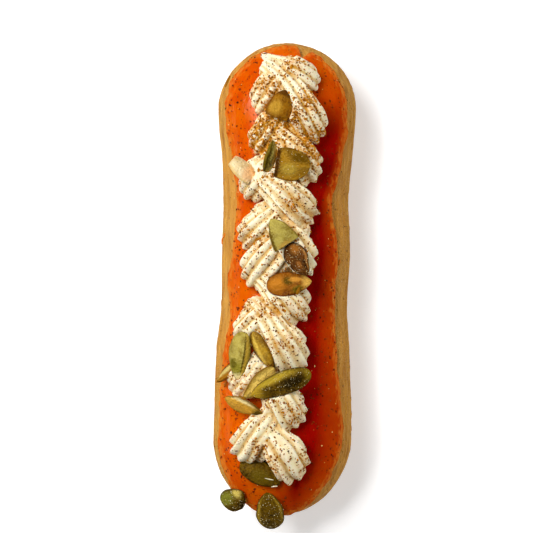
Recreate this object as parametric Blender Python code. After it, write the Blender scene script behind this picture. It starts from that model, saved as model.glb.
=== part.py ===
"""Glazed eclair with a piped ruffle of cream and pumpkin seeds, in metres.

The eclair lies along Y on the plane z = 0, with the origin at the middle of its flat base. Its head
end is at +Y and its foot end at -Y. The choux shell carries a thin skin of glaze, the cream is a row
of star-piped lobes that lean left and right by turns, and the seeds lie on the cream and the glaze.
"""

import math

import bmesh
import bpy
import numpy as np
from mathutils import Matrix, Vector
from mathutils.bvhtree import BVHTree

# Choux shell
LENGTH = 0.140
BELLY_HEIGHT = 0.0125
CROWN_RISE = 0.0155
BELLY_DEPTH = 0.0131
CROWN_FULLNESS = 2.35
FOOT_FULLNESS = 3.2
HEAD_ROUNDING = 0.0203
FOOT_ROUNDING = 0.0230
CROWN_ROUNDING = 0.0250
BASE_ROUNDING = 0.0110
FLUTE_DEPTH = 0.00028
FLUTES_PER_TURN = 26
SHELL_STATIONS = 30
SHELL_POINTS_AROUND = 36
# Place along the eclair, sideways drift of its middle, and its half width there.
SHELL_PLAN = (
    (-0.070, -0.0013, 0.0200),
    (-0.043, -0.0008, 0.0206),
    (-0.021, -0.0006, 0.0199),
    (-0.010, -0.0003, 0.0190),
    (0.008, 0.0003, 0.0192),
    (0.024, 0.0003, 0.0187),
    (0.034, 0.0006, 0.0193),
    (0.045, 0.0006, 0.0203),
    (0.070, 0.0009, 0.0203),
)

# Glaze
TOUCHING_GAP = 0.0003
GLAZE_THICKNESS = 0.0012
GLAZE_HEAD_INSET = 0.0020
GLAZE_FOOT_INSET = 0.0008
GLAZE_POINTS_AROUND = 60
# Share of the way from the spine to the glaze's edge, and share of the full thickness there.
GLAZE_RINGS = ((0.0, 1.0), (0.35, 1.0), (0.62, 1.0), (0.82, 1.05), (0.95, 0.95), (1.0, 0.3))
# Place along the eclair, and how far the glaze stops short of the shell's side on the left and right.
GLAZE_INSETS = (
    (-0.070, 0.0020, 0.0030),
    (-0.045, 0.0023, 0.0034),
    (-0.024, 0.0026, 0.0045),
    (-0.010, 0.0036, 0.0045),
    (-0.003, 0.0026, 0.0046),
    (0.010, 0.0040, 0.0046),
    (0.021, 0.0046, 0.0056),
    (0.031, 0.0040, 0.0040),
    (0.045, 0.0027, 0.0031),
    (0.070, 0.0024, 0.0028),
)

# Cream, from the first lobe at the foot to the last at the head: the middle of the lobe's round end,
# its radius, the heading of its leg in degrees anticlockwise from +X, the leg's length, and how far
# the leg turns.
RIDGES = 8
RIDGE_DEPTH = 0.26
SQUASH = 0.82
HEAD_SWELL = 0.08
LEG_DROP = 0.0034
ROOT_BELOW_GLAZE = 0.0040
ELBOW_STEPS = 5
LEG_STEPS = 2
CREAM_LOBES = (
    (0.0016, -0.0535, 0.0058, 122, 0.0120, 6),
    (-0.0104, -0.0479, 0.0056, 54, 0.0135, 4),
    (0.0008, -0.0383, 0.0056, 122, 0.0115, 10),
    (-0.0117, -0.0298, 0.0050, 52, 0.0120, -8),
    (0.0007, -0.0220, 0.0062, 120, 0.0125, 10),
    (-0.0104, -0.0147, 0.0053, 46, 0.0140, -30),
    (0.0021, -0.0077, 0.0056, 132, 0.0100, 14),
    (-0.0071, 0.0029, 0.0059, 52, 0.0120, -16),
    (0.0037, 0.0062, 0.0062, 127, 0.0120, 8),
    (-0.0086, 0.0127, 0.0055, 46, 0.0125, -6),
    (0.0035, 0.0202, 0.0063, 138, 0.0125, -14),
    (-0.0082, 0.0274, 0.0052, 54, 0.0110, -16),
    (0.0052, 0.0329, 0.0061, 128, 0.0120, 10),
    (-0.0059, 0.0405, 0.0051, 56, 0.0100, -22),
    (0.0065, 0.0449, 0.0059, 118, 0.0150, 22),
    (-0.0056, 0.0524, 0.0049, 60, 0.0080, -18),
    (0.0046, 0.0580, 0.0051, 146, 0.0076, 4),
)
# How much of its radius a leg loses by its end, and the power that sets where it thins.
LEG_TAPER = (0.5, 0.7)
TIP_TAPER = (0.80, 0.45)

# Pumpkin seeds. Each row is name, length, width, thickness, the stretch of the whole seed that it
# keeps (from -1 at the blunt end to 1 at the tip), its middle, its turn about Z, its pitch and roll
# in degrees, how deep it is pressed into the cream, and its colour.
SEED_RINGS = 6
SEED_POINTS_AROUND = 8
SEED_BLUNTNESS = 0.5
SEED_POINT = 0.75
SEED_EDGE = 1.3
SEED_CUP = 0.0004
SEAT_STEP = 0.0004
SEAT_GAP = 0.0005
SEEDS = (
    ("seed_under_cream", 0.0132, 0.0074, 0.0024, (-1, 1), (-0.0072, -0.0560), -31, -4, 6, 0, "dark_green"),
    ("seed_head", 0.0105, 0.0076, 0.0026, (-0.62, 1), (-0.0013, 0.0502), 72, -4, 16, 0.0010, "brown_olive"),
    ("seed_upright", 0.0094, 0.0066, 0.0024, (-1, 1), (-0.0043, 0.0352), 77, 4, 66, 0.0038, "sage"),
    ("seed_wide", 0.0160, 0.0098, 0.0028, (-1, 0.22), (0.0021, 0.0327), 172, 4, -16, 0.0010, "olive"),
    ("seed_pale_chip", 0.0120, 0.0066, 0.0026, (-0.75, 0.55), (-0.0125, 0.0316), 138, 6, 42, 0.0030, "pale"),
    ("seed_green", 0.0135, 0.0082, 0.0026, (-0.28, 1), (-0.0019, 0.0137), 123, 2, -10, 0.0020, "sage"),
    ("seed_amber", 0.0130, 0.0072, 0.0030, (-1, 1), (0.0010, -0.0012), 6, 2, -8, 0.0020, "amber"),
    ("seed_roasted", 0.0108, 0.0064, 0.0028, (-1, 1), (0.0034, 0.0058), -60, 14, 8, 0.0024, "roasted"),
    ("seed_sliver", 0.0090, 0.0050, 0.0020, (-1, 1), (-0.0166, -0.0268), -140, -6, 58, 0, "brown_olive"),
    ("seed_left", 0.0140, 0.0072, 0.0027, (-1, 1), (-0.0133, -0.0220), -97, -3, 30, 0.0026, "sage"),
    ("seed_on_edge", 0.0126, 0.0066, 0.0027, (-1, 1), (-0.0066, -0.0206), -61, -6, 56, 0.0036, "gold"),
    ("seed_beneath", 0.0125, 0.0062, 0.0024, (-1, 1), (-0.0076, -0.0298), 226, -4, -34, 0.0036, "gold"),
    ("seed_long", 0.0186, 0.0074, 0.0032, (-1, 1), (-0.0015, -0.0299), 201, -3, -14, 0.0022, "dark_green"),
    ("seed_low_left", 0.0118, 0.0058, 0.0024, (-1, 1), (-0.0120, -0.0365), -23, -2, 48, 0.0030, "gold"),
    ("seed_foot_left", 0.0096, 0.0074, 0.0028, (-1, 1), (-0.0152, -0.0645), 42, 40, 4, 0, "dark_green"),
    ("seed_foot", 0.0140, 0.0084, 0.0030, (-1, 1), (-0.0045, -0.0680), 99, 38, -6, 0, "dark_green"),
)

COLOURS = {
    "choux": (0.56, 0.27, 0.045, 0.75),
    "glaze": (0.64, 0.085, 0.001, 0.12),
    "cream": (0.86, 0.75, 0.49, 0.50),
    "dark_green": (0.12, 0.075, 0.004, 0.45),
    "sage": (0.40, 0.32, 0.065, 0.50),
    "olive": (0.34, 0.18, 0.010, 0.45),
    "brown_olive": (0.31, 0.13, 0.006, 0.45),
    "gold": (0.44, 0.25, 0.018, 0.45),
    "amber": (0.27, 0.085, 0.005, 0.35),
    "roasted": (0.08, 0.022, 0.003, 0.35),
    "pale": (0.90, 0.70, 0.38, 0.55),
}


def clear_scene():
    for old in list(bpy.data.objects):
        bpy.data.objects.remove(old)


def material(name):
    """A plain finish, from the named colour and roughness."""
    *colour, roughness = COLOURS[name]
    made = bpy.data.materials.get(name) or bpy.data.materials.new(name)
    made.use_nodes = True
    shader = made.node_tree.nodes["Principled BSDF"]
    shader.inputs["Base Color"].default_value = (*colour, 1)
    shader.inputs["Roughness"].default_value = roughness
    return made


def solid(name, points, faces, finish):
    """An object from points and faces, with its faces turned outwards."""
    mesh = bpy.data.meshes.new(name)
    mesh.from_pydata([tuple(p) for p in points], [], faces)
    shape = bmesh.new()
    shape.from_mesh(mesh)
    bmesh.ops.remove_doubles(shape, verts=shape.verts, dist=1e-6)
    bmesh.ops.recalc_face_normals(shape, faces=shape.faces)
    bmesh.ops.triangulate(shape, faces=[f for f in shape.faces if len(f.verts) > 4])
    shape.to_mesh(mesh)
    shape.free()
    mesh.shade_smooth()
    mesh.materials.append(material(finish))
    made = bpy.data.objects.new(name, mesh)
    bpy.context.scene.collection.objects.link(made)
    return made


def smooth_through(stations, column, place):
    """The value of one column at a place, on a smooth curve through the stations."""
    places = np.array([row[0] for row in stations])
    values = np.array([row[column] for row in stations])
    slopes = np.gradient(values, places)
    place = np.clip(place, places[0], places[-1])
    i = np.clip(np.searchsorted(places, place) - 1, 0, len(places) - 2)
    span = places[i + 1] - places[i]
    t = (place - places[i]) / span
    rise = (1 - t) ** 2 * ((1 + 2 * t) * values[i] + t * span * slopes[i])
    return rise + t * t * ((3 - 2 * t) * values[i + 1] - (1 - t) * span * slopes[i + 1])


def end_rounding(y, head_round, foot_round, head_inset=0.0, foot_inset=0.0):
    """1 along the eclair's middle, falling to 0 on an elliptic curve at each end."""
    head = (y - (LENGTH / 2 - head_inset - head_round)) / head_round
    foot = (-y - (LENGTH / 2 - foot_inset - foot_round)) / foot_round
    over = np.clip(np.maximum(head, foot), 0, 1)
    return np.sqrt(1 - over * over)


def shell_middle(y):
    return smooth_through(SHELL_PLAN, 1, y)


def shell_half_width(y):
    return smooth_through(SHELL_PLAN, 2, y) * end_rounding(y, HEAD_ROUNDING, FOOT_ROUNDING)


def crown_rise(y):
    return CROWN_RISE * end_rounding(y, CROWN_ROUNDING, CROWN_ROUNDING)


def crown_height(x, y):
    """Height of the shell's top over a point of the plan."""
    across = np.clip(abs(x - shell_middle(y)) / max(shell_half_width(y), 1e-6), 0, 1)
    return BELLY_HEIGHT + crown_rise(y) * (1 - across**CROWN_FULLNESS) ** (1 / CROWN_FULLNESS)


def crown_normal(x, y):
    step = 0.0002
    slope_x = (crown_height(x + step, y) - crown_height(x - step, y)) / (2 * step)
    slope_y = (crown_height(x, y + step) - crown_height(x, y - step)) / (2 * step)
    return Vector((-slope_x, -slope_y, 1)).normalized()


def tube(rings):
    """Points and side faces of a tube through equal rings."""
    count = len(rings[0])
    points = [p for ring in rings for p in ring]
    faces = []
    for first in range(0, count * (len(rings) - 1), count):
        for k in range(count):
            n = (k + 1) % count
            faces.append((first + k, first + n, first + count + n, first + count + k))
    return points, faces


def closed_tube(rings, start_pole=None, end_pole=None):
    """A tube with each end closed by a fan to a pole, or by one flat face where there is no pole."""
    points, faces = tube(rings)
    count = len(rings[0])
    for pole, first in ((start_pole, 0), (end_pole, len(points) - count)):
        if pole is None:
            faces.append(tuple(range(first, first + count)))
        else:
            points.append(pole)
            faces += [(first + k, first + (k + 1) % count, len(points) - 1) for k in range(count)]
    return points, faces


def power_of(value, fullness):
    return math.copysign(abs(value) ** (2 / fullness), value)


def shell_ring(y):
    """One cross-section of the choux shell: a full crown over a flat base, with fluted sides."""
    ring = []
    width = shell_half_width(y)
    for k in range(SHELL_POINTS_AROUND):
        turn = 2 * math.pi * k / SHELL_POINTS_AROUND
        side, up = math.cos(turn), math.sin(turn)
        if up >= 0:
            x = width * power_of(side, CROWN_FULLNESS)
            z = BELLY_HEIGHT + crown_rise(y) * power_of(up, CROWN_FULLNESS)
        else:
            depth = BELLY_DEPTH * end_rounding(y, BASE_ROUNDING, BASE_ROUNDING)
            x = width * power_of(side, FOOT_FULLNESS)
            z = BELLY_HEIGHT + depth * power_of(up, FOOT_FULLNESS)
        flank = max(0.0, 1 - abs(up) / 0.6) * end_rounding(y, HEAD_ROUNDING, FOOT_ROUNDING)
        flute = FLUTE_DEPTH * flank * (math.cos(FLUTES_PER_TURN * turn) - 1)
        ring.append((shell_middle(y) + x + flute * side, y, max(z + flute * up, 0.0)))
    return ring


def choux_shell():
    turns = [math.pi * i / SHELL_STATIONS for i in range(1, SHELL_STATIONS)]
    rings = [shell_ring(-LENGTH / 2 * math.cos(turn)) for turn in turns]
    ends = [(shell_middle(y), y, BELLY_HEIGHT) for y in (-LENGTH / 2, LENGTH / 2)]
    points, faces = closed_tube(rings, *ends)
    return solid("choux_shell", points, faces, "choux")


def glaze_edge(y, side):
    """Sideways place of the glaze's edge: side is -1 on the left and 1 on the right."""
    inset = smooth_through(GLAZE_INSETS, 1 if side < 0 else 2, y)
    width = smooth_through(SHELL_PLAN, 2, y) - inset
    ends = (HEAD_ROUNDING - GLAZE_HEAD_INSET, FOOT_ROUNDING - GLAZE_FOOT_INSET)
    return shell_middle(y) + side * width * end_rounding(y, *ends, GLAZE_HEAD_INSET, GLAZE_FOOT_INSET)


def glaze_plan():
    """Points round the glaze's edge, each with the point of the spine that faces it."""
    head, foot = LENGTH / 2 - GLAZE_HEAD_INSET, GLAZE_FOOT_INSET - LENGTH / 2
    spine_head, spine_foot = LENGTH / 2 - HEAD_ROUNDING, FOOT_ROUNDING - LENGTH / 2
    plan = []
    for k in range(GLAZE_POINTS_AROUND):
        turn = 2 * math.pi * k / GLAZE_POINTS_AROUND
        y = (head + foot) / 2 - (head - foot) / 2 * math.cos(turn)
        side = 1 if k <= GLAZE_POINTS_AROUND // 2 else -1
        spine_y = min(max(y, spine_foot), spine_head)
        plan.append(((glaze_edge(y, side), y), (shell_middle(spine_y), spine_y)))
    return plan


def glaze_layer(offset):
    """Rings over the crown, from the spine to the glaze's edge. offset gives each ring's distance."""
    layer = []
    for share, full in GLAZE_RINGS:
        ring = []
        for edge, spine in glaze_plan():
            x, y = (s + share * (e - s) for e, s in zip(edge, spine))
            ring.append(Vector((x, y, crown_height(x, y))) + crown_normal(x, y) * offset(full))
        layer.append(ring)
    return layer


def skin(name, under, over, finish):
    """A closed skin between two offsets from the crown. Each layer closes along the spine."""
    rings = glaze_layer(under) + glaze_layer(over)[::-1]
    return solid(name, *tube(rings), finish)


def glaze():
    thick = GLAZE_THICKNESS
    return skin("glaze", lambda full: TOUCHING_GAP, lambda full: TOUCHING_GAP + full * thick, "glaze")


def glaze_top(x, y):
    return crown_height(x, y) + (TOUCHING_GAP + GLAZE_THICKNESS) / crown_normal(x, y).z


def star_ring(middle, outward, across, radius):
    """A ridged ring, with crests at the radius and valleys between them."""
    ring = []
    for k in range(2 * RIDGES):
        turn = math.pi * k / RIDGES
        reach = radius * (1 - RIDGE_DEPTH * (k % 2))
        ring.append(middle + reach * (math.cos(turn) * outward + math.sin(turn) * across))
    return ring


def flat_direction(degrees):
    return Vector((math.cos(math.radians(degrees)), math.sin(math.radians(degrees)), 0))


def cream_lobe(number, x, y, radius, heading, leg, bend, taper):
    """A star-piped rope that rises from the glaze, bends over and runs on under the next lobe."""
    loss, curve = taper
    along = flat_direction(heading)
    up = Vector((0, 0, 1))
    across = up.cross(along)
    foot = Vector((x, y, glaze_top(x, y)))
    rings = [star_ring(foot - ROOT_BELOW_GLAZE * up, -along, across, radius)]
    for i in range(ELBOW_STEPS + 1):
        turn = math.pi / 2 * i / ELBOW_STEPS
        middle = foot + radius * ((1 - math.cos(turn)) * along + math.sin(turn) * up)
        outward = math.sin(turn) * up - math.cos(turn) * along
        rings.append(star_ring(middle, outward, across, radius * (1 + HEAD_SWELL * math.sin(2 * turn))))
    for i in range(1, LEG_STEPS + 1):
        share = i / LEG_STEPS
        along = flat_direction(heading + bend * share)
        middle = middle + leg / LEG_STEPS * along - LEG_DROP * (2 * i - 1) / LEG_STEPS**2 * up
        outward = (up + 2 * LEG_DROP * share / leg * along).normalized()
        rings.append(star_ring(middle, outward, up.cross(along), radius * (1 - loss * share**curve)))
    for ring in rings[1:]:
        for p in ring:
            p.z = foot.z + SQUASH * (p.z - foot.z)
    points, faces = closed_tube(rings)
    return solid(f"lobe_{number:02d}", points, faces, "cream")


def joined(target, others, operation):
    """target after one Boolean with all the others, which are then removed."""
    group = bpy.data.collections.new("operands")
    bpy.context.scene.collection.children.link(group)
    for other in others:
        bpy.context.scene.collection.objects.unlink(other)
        group.objects.link(other)
    cut = target.modifiers.new("join", "BOOLEAN")
    cut.operation = operation
    cut.operand_type = "COLLECTION"
    cut.collection = group
    cut.solver = "MANIFOLD"
    graph = bpy.context.evaluated_depsgraph_get()
    mesh = bpy.data.meshes.new_from_object(target.evaluated_get(graph))
    target.modifiers.clear()
    target.data = mesh
    for other in others:
        bpy.data.objects.remove(other)
    bpy.data.collections.remove(group)
    drop_scraps(target)
    return target


def drop_scraps(target):
    """Keeps the largest connected piece of a mesh."""
    shape = bmesh.new()
    shape.from_mesh(target.data)
    left, pieces = set(shape.verts), []
    while left:
        piece, edge = set(), [left.pop()]
        while edge:
            vert = edge.pop()
            piece.add(vert)
            near = {e.other_vert(vert) for e in vert.link_edges} & left
            left -= near
            edge += near
        pieces.append(piece)
    pieces.sort(key=len)
    bmesh.ops.delete(shape, geom=[v for piece in pieces[:-1] for v in piece], context="VERTS")
    shape.to_mesh(target.data)
    shape.free()


def piped_cream():
    lobes = []
    for number, row in enumerate(CREAM_LOBES):
        taper = TIP_TAPER if number == len(CREAM_LOBES) - 1 else LEG_TAPER
        lobes.append(cream_lobe(number, *row, taper))
    cream = joined(lobes[0], lobes[1:], "UNION")
    lift = 2 * TOUCHING_GAP + GLAZE_THICKNESS
    bed = skin("bed", lambda full: -0.008, lambda full: lift, "glaze")
    cream = joined(cream, [bed], "DIFFERENCE")
    cream.name = "piped_cream"
    return cream


def seed_ring(place, length, width, thickness, grow):
    """One cross-section of a seed: a lens with sharp edges, at a place from -1 to 1 on its length."""
    fullest = (1 - 0.2) ** SEED_BLUNTNESS * (1 + 0.2) ** SEED_POINT
    share = (1 + place) ** SEED_BLUNTNESS * (1 - place) ** SEED_POINT / fullest
    rise = (1 - place * place) ** 0.5
    ring = []
    for k in range(SEED_POINTS_AROUND):
        turn = 2 * math.pi * k / SEED_POINTS_AROUND
        side, up = math.cos(turn), math.sin(turn)
        z = thickness / 2 * rise * math.copysign(abs(up) ** SEED_EDGE, up) + grow * up
        ring.append(Vector((length / 2 * place, width / 2 * share * side + grow * side,
                            z - SEED_CUP * place * place)))
    return ring


def seed_mesh(length, width, thickness, stretch, grow=0.0):
    """Points and faces of a seed, grown on all sides by grow. A broken seed ends in a flat face."""
    first, last = stretch
    turns = [math.pi * (i + 0.5) / SEED_RINGS for i in range(SEED_RINGS)]
    places = [(first + last) / 2 - (last - first) / 2 * math.cos(turn) for turn in turns]
    reach = grow * 2 / length
    poles = [None, None]
    if first == -1:
        poles[0] = Vector((-length / 2 - grow, 0, -SEED_CUP))
    else:
        places[0] = first - reach
    if last == 1:
        poles[1] = Vector((length / 2 + grow, 0, -SEED_CUP))
    else:
        places[-1] = last + reach
    rings = [seed_ring(place, length, width, thickness, grow) for place in places]
    return closed_tube(rings, *poles)


def seed_turn(turn, pitch, roll):
    """Rolls about the seed's length, lifts its tip by pitch and turns it in plan."""
    lift = Matrix.Rotation(math.radians(-pitch), 4, "Y")
    return Matrix.Rotation(math.radians(turn), 4, "Z") @ lift @ Matrix.Rotation(math.radians(roll), 4, "X")


def height_at(tree, x, y, side):
    """Height of a piece over a point of the plan: its top for side 1, its underside for side -1."""
    hit = tree.ray_cast(Vector((x, y, side)), Vector((0, 0, -side)))[0]
    return None if hit is None else hit.z


def seat(points, faces, soft, hard, sink):
    """How far to lift a seed so that it rests on the hard pieces, or sinks a little into the cream."""
    seed = BVHTree.FromPolygons(points, faces)
    lows = [min(p[i] for p in points) for i in (0, 1)]
    highs = [max(p[i] for p in points) for i in (0, 1)]
    lift = -1.0
    for x in np.arange(lows[0], highs[0], SEAT_STEP):
        for y in np.arange(lows[1], highs[1], SEAT_STEP):
            low = height_at(seed, x, y, -1)
            if low is None:
                continue
            rests = [(tree, -sink) for tree in soft] + [(tree, SEAT_GAP) for tree in hard]
            for tree, gap in rests:
                top = height_at(tree, x, y, 1)
                if top is not None:
                    lift = max(lift, top - low + gap)
    return lift


def tree_of(thing):
    return BVHTree.FromObject(thing, bpy.context.evaluated_depsgraph_get())


def place_seeds(shell, icing, cream):
    """Seats the seeds in order, and gives the grown copies that the cream is cut by."""
    soft, hard, pockets = [tree_of(cream)], [tree_of(shell), tree_of(icing)], []
    for name, length, width, thickness, stretch, middle, turn, pitch, roll, sink, finish in SEEDS:
        points, faces = seed_mesh(length, width, thickness, stretch)
        centred = Matrix.Translation((-length / 2 * sum(stretch) / 2, 0, 0))
        pose = Matrix.Translation((*middle, 0)) @ seed_turn(turn, pitch, roll) @ centred
        lift = seat([pose @ p for p in points], faces, soft if sink else [], hard, sink)
        pose = Matrix.Translation((0, 0, lift)) @ pose
        seed = solid(name, [pose @ p for p in points], faces, finish)
        hard.append(tree_of(seed))
        grown, grown_faces = seed_mesh(length, width, thickness, stretch, TOUCHING_GAP)
        pockets.append(solid(name + "_pocket", [pose @ p for p in grown], grown_faces, finish))
    return pockets


def build():
    clear_scene()
    shell = choux_shell()
    icing = glaze()
    cream = piped_cream()
    pockets = place_seeds(shell, icing, cream)
    joined(cream, pockets, "DIFFERENCE")


build()
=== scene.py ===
"""Looks of the glazed eclair: choux, glaze, piped cream, pumpkin seeds and spice, in metres."""

import math
from itertools import product

import bmesh
import bpy
import numpy as np
from mathutils import Matrix, Vector
from mathutils.bvhtree import BVHTree
from mathutils.kdtree import KDTree


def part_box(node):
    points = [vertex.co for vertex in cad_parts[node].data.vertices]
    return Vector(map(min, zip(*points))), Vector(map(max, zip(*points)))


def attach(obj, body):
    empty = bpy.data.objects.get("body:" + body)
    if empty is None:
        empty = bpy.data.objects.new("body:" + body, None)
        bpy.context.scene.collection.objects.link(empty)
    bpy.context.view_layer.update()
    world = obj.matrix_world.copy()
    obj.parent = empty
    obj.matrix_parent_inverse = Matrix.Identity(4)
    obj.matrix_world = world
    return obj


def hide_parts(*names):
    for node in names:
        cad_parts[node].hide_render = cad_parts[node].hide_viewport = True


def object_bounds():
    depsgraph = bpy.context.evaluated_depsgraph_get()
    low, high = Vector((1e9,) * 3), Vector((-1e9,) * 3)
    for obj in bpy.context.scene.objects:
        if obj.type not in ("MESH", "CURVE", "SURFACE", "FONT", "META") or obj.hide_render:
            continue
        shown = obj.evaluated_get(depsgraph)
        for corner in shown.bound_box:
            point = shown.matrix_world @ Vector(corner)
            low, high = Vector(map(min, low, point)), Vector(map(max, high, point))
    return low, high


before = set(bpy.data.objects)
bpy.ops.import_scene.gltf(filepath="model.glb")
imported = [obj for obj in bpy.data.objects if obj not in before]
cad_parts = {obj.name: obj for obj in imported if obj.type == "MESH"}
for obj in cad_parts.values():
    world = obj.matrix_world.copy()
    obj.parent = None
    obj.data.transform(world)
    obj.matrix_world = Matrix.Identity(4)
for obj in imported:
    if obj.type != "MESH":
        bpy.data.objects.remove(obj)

CAD_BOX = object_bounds()
MM = 0.001

# Choux shell, in the dimensions of the solids and with a finer relief
LENGTH = 0.140
BELLY_HEIGHT = 0.0125
CROWN_RISE = 0.0155
BELLY_DEPTH = 0.0131
CROWN_FULLNESS = 2.35
FOOT_FULLNESS = 3.2
HEAD_ROUNDING = 0.0203
FOOT_ROUNDING = 0.0230
CROWN_ROUNDING = 0.0250
BASE_ROUNDING = 0.0110
FLUTE_DEPTH = 0.00028
FLUTES_PER_TURN = 46
FLANK_REACH = 0.6
STREAK_HEIGHT = 0.00011
STREAK_STRETCH = 0.12
LUMP_HEIGHT = 0.00022
BLISTER_HEIGHT = 0.00030
GRAIN_HEIGHT = 0.00003
RELIEF_SINK = 0.0002
SHELL_STATIONS = 300
SHELL_POINTS_AROUND = 250
# Place along the eclair, sideways drift of its middle, and its half width there.
SHELL_PLAN = (
    (-0.070, -0.0013, 0.0200),
    (-0.043, -0.0008, 0.0206),
    (-0.021, -0.0006, 0.0199),
    (-0.010, -0.0003, 0.0190),
    (0.008, 0.0003, 0.0192),
    (0.024, 0.0003, 0.0187),
    (0.034, 0.0006, 0.0193),
    (0.045, 0.0006, 0.0203),
    (0.070, 0.0009, 0.0203),
)

# Glaze
TOUCHING_GAP = 0.0003
GLAZE_THICKNESS = 0.0012
GLAZE_HEAD_INSET = 0.0020
GLAZE_FOOT_INSET = 0.0008
GLAZE_POINTS_AROUND = 720
GLAZE_TOP_RINGS = 64
GLAZE_UNDER_RINGS = 8
GLAZE_RIM_WIDTH = 0.0060
GLAZE_LIP_WIDTH = 0.0003
GLAZE_LIP_SHARE = 0.25
# Where the glaze turns redder and darker right of the cream: partly glaze that pools thicker there, partly
# painted shade for the cream's shadow and the crown turning from the light.
SHADED_POOL_START = -0.004
SHADED_POOL_WIDTH = 0.007
SHADED_POOL_HEAD = 0.062
SHADED_POOL_HEAD_FADE = 0.020
# Place along the eclair, and how far the glaze stops short of the shell's side on the left and right.
GLAZE_INSETS = (
    (-0.070, 0.0020, 0.0062),
    (-0.045, 0.0023, 0.0034),
    (-0.024, 0.0026, 0.0045),
    (-0.010, 0.0036, 0.0045),
    (-0.003, 0.0026, 0.0046),
    (0.010, 0.0040, 0.0046),
    (0.021, 0.0046, 0.0056),
    (0.031, 0.0040, 0.0040),
    (0.045, 0.0027, 0.0031),
    (0.070, 0.0024, 0.0052),
)
# Place along the eclair, and how far in from its right edge the glaze is thinner and its painted shade fades
# out.
GLAZE_SLOPES = ((-0.050, 0.0080), (0.035, 0.0024))
# Bites out of the glaze's edge that show the choux: middle, half width and depth.
GLAZE_NOTCHES = (
    (0.0060, 0.0680, 0.0014, 0.0046),
    (-0.0172, 0.0545, 0.0020, 0.0008),
    (0.0196, -0.0510, 0.0022, 0.0009),
)

# Cream. Each lobe is a round end that rises from the glaze, an elbow, and a leg under the next lobe.
RIDGES = 11
SQUASH = 0.82
LEG_TAPER = 0.5
LEG_CURVE = 0.7
LEG_DROP = 0.0034
HEAD_SWELL = 0.08
ELBOW_STEPS = 14
LEG_STEPS = 22
POINTS_PER_RIDGE = 12
FINE_LINES = 0.022
FINE_LINE_WIDTH = 0.22
RIDGE_UNEVENNESS = 0.11
GROOVE_SHARE = 0.80
GROOVE_UNEVENNESS = 5
GROOVE_LIMITS = (0.10, 1.2)
GROOVE_FADE = 0.62
GROOVE_FADE_CURVE = 0.6
CREAM_ROOT_DEPTH = 0.0030
CREAM_ROOT_SIZE = 0.94
CREAM_VOXEL = 0.00029
CREAM_SETTLE = 0.0003
HOLLOW_ROUNDS = 12
# The last lobe's leg is drawn out to a tip.
TIP_TAPER = 0.80
TIP_CURVE = 0.45
# Each lobe, from the foot to the head: the middle of its round end, its radius, the heading of its leg in
# degrees anticlockwise from +X, the leg's length, how far the leg turns, how deep its grooves are as a
# share of the radius, and how sharp its ridges are.
CREAM_LOBES = (
    (0.0016, -0.0535, 0.0058, 122, 0.0120, 6, 0.28, 0.4),
    (-0.0104, -0.0479, 0.0056, 54, 0.0135, 4, 0.24, 0.3),
    (0.0008, -0.0383, 0.0056, 122, 0.0115, 10, 0.28, 0.5),
    (-0.0117, -0.0298, 0.0050, 52, 0.0120, -8, 0.22, 0.2),
    (0.0007, -0.0220, 0.0062, 120, 0.0125, 10, 0.24, 0.9),
    (-0.0104, -0.0147, 0.0053, 46, 0.0140, -30, 0.20, 0.1),
    (0.0021, -0.0077, 0.0056, 132, 0.0100, 14, 0.24, 0.3),
    (-0.0071, 0.0029, 0.0059, 52, 0.0120, -16, 0.20, 0.1),
    (0.0037, 0.0062, 0.0062, 127, 0.0120, 8, 0.28, 1.0),
    (-0.0086, 0.0127, 0.0055, 46, 0.0125, -6, 0.24, 0.4),
    (0.0035, 0.0202, 0.0063, 138, 0.0125, -14, 0.28, 1.0),
    (-0.0082, 0.0274, 0.0052, 54, 0.0110, -16, 0.20, 0.1),
    (0.0052, 0.0329, 0.0061, 128, 0.0120, 10, 0.26, 0.9),
    (-0.0059, 0.0405, 0.0051, 56, 0.0100, -22, 0.20, 0.0),
    (0.0065, 0.0449, 0.0059, 118, 0.0150, 22, 0.25, 0.1),
    (-0.0056, 0.0524, 0.0049, 60, 0.0080, -18, 0.17, 0.0),
    (0.0046, 0.0580, 0.0051, 146, 0.0076, 4, 0.28, 0.0),
)

# Pumpkin seeds
SEED_STATIONS = 56
SEED_POINTS_AROUND = 48
SEED_BLUNTNESS = 0.5
SEED_POINT = 0.75
SEED_EDGE = 1.3
SEED_CUP = 0.0004
WRINKLE_HEIGHT = 0.00012
DENT_HEIGHT = 0.00028
MARGIN_HEIGHT = 0.00009
SEED_SWAY = 0.00032
PRESS_GAP = 0.0001
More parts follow.
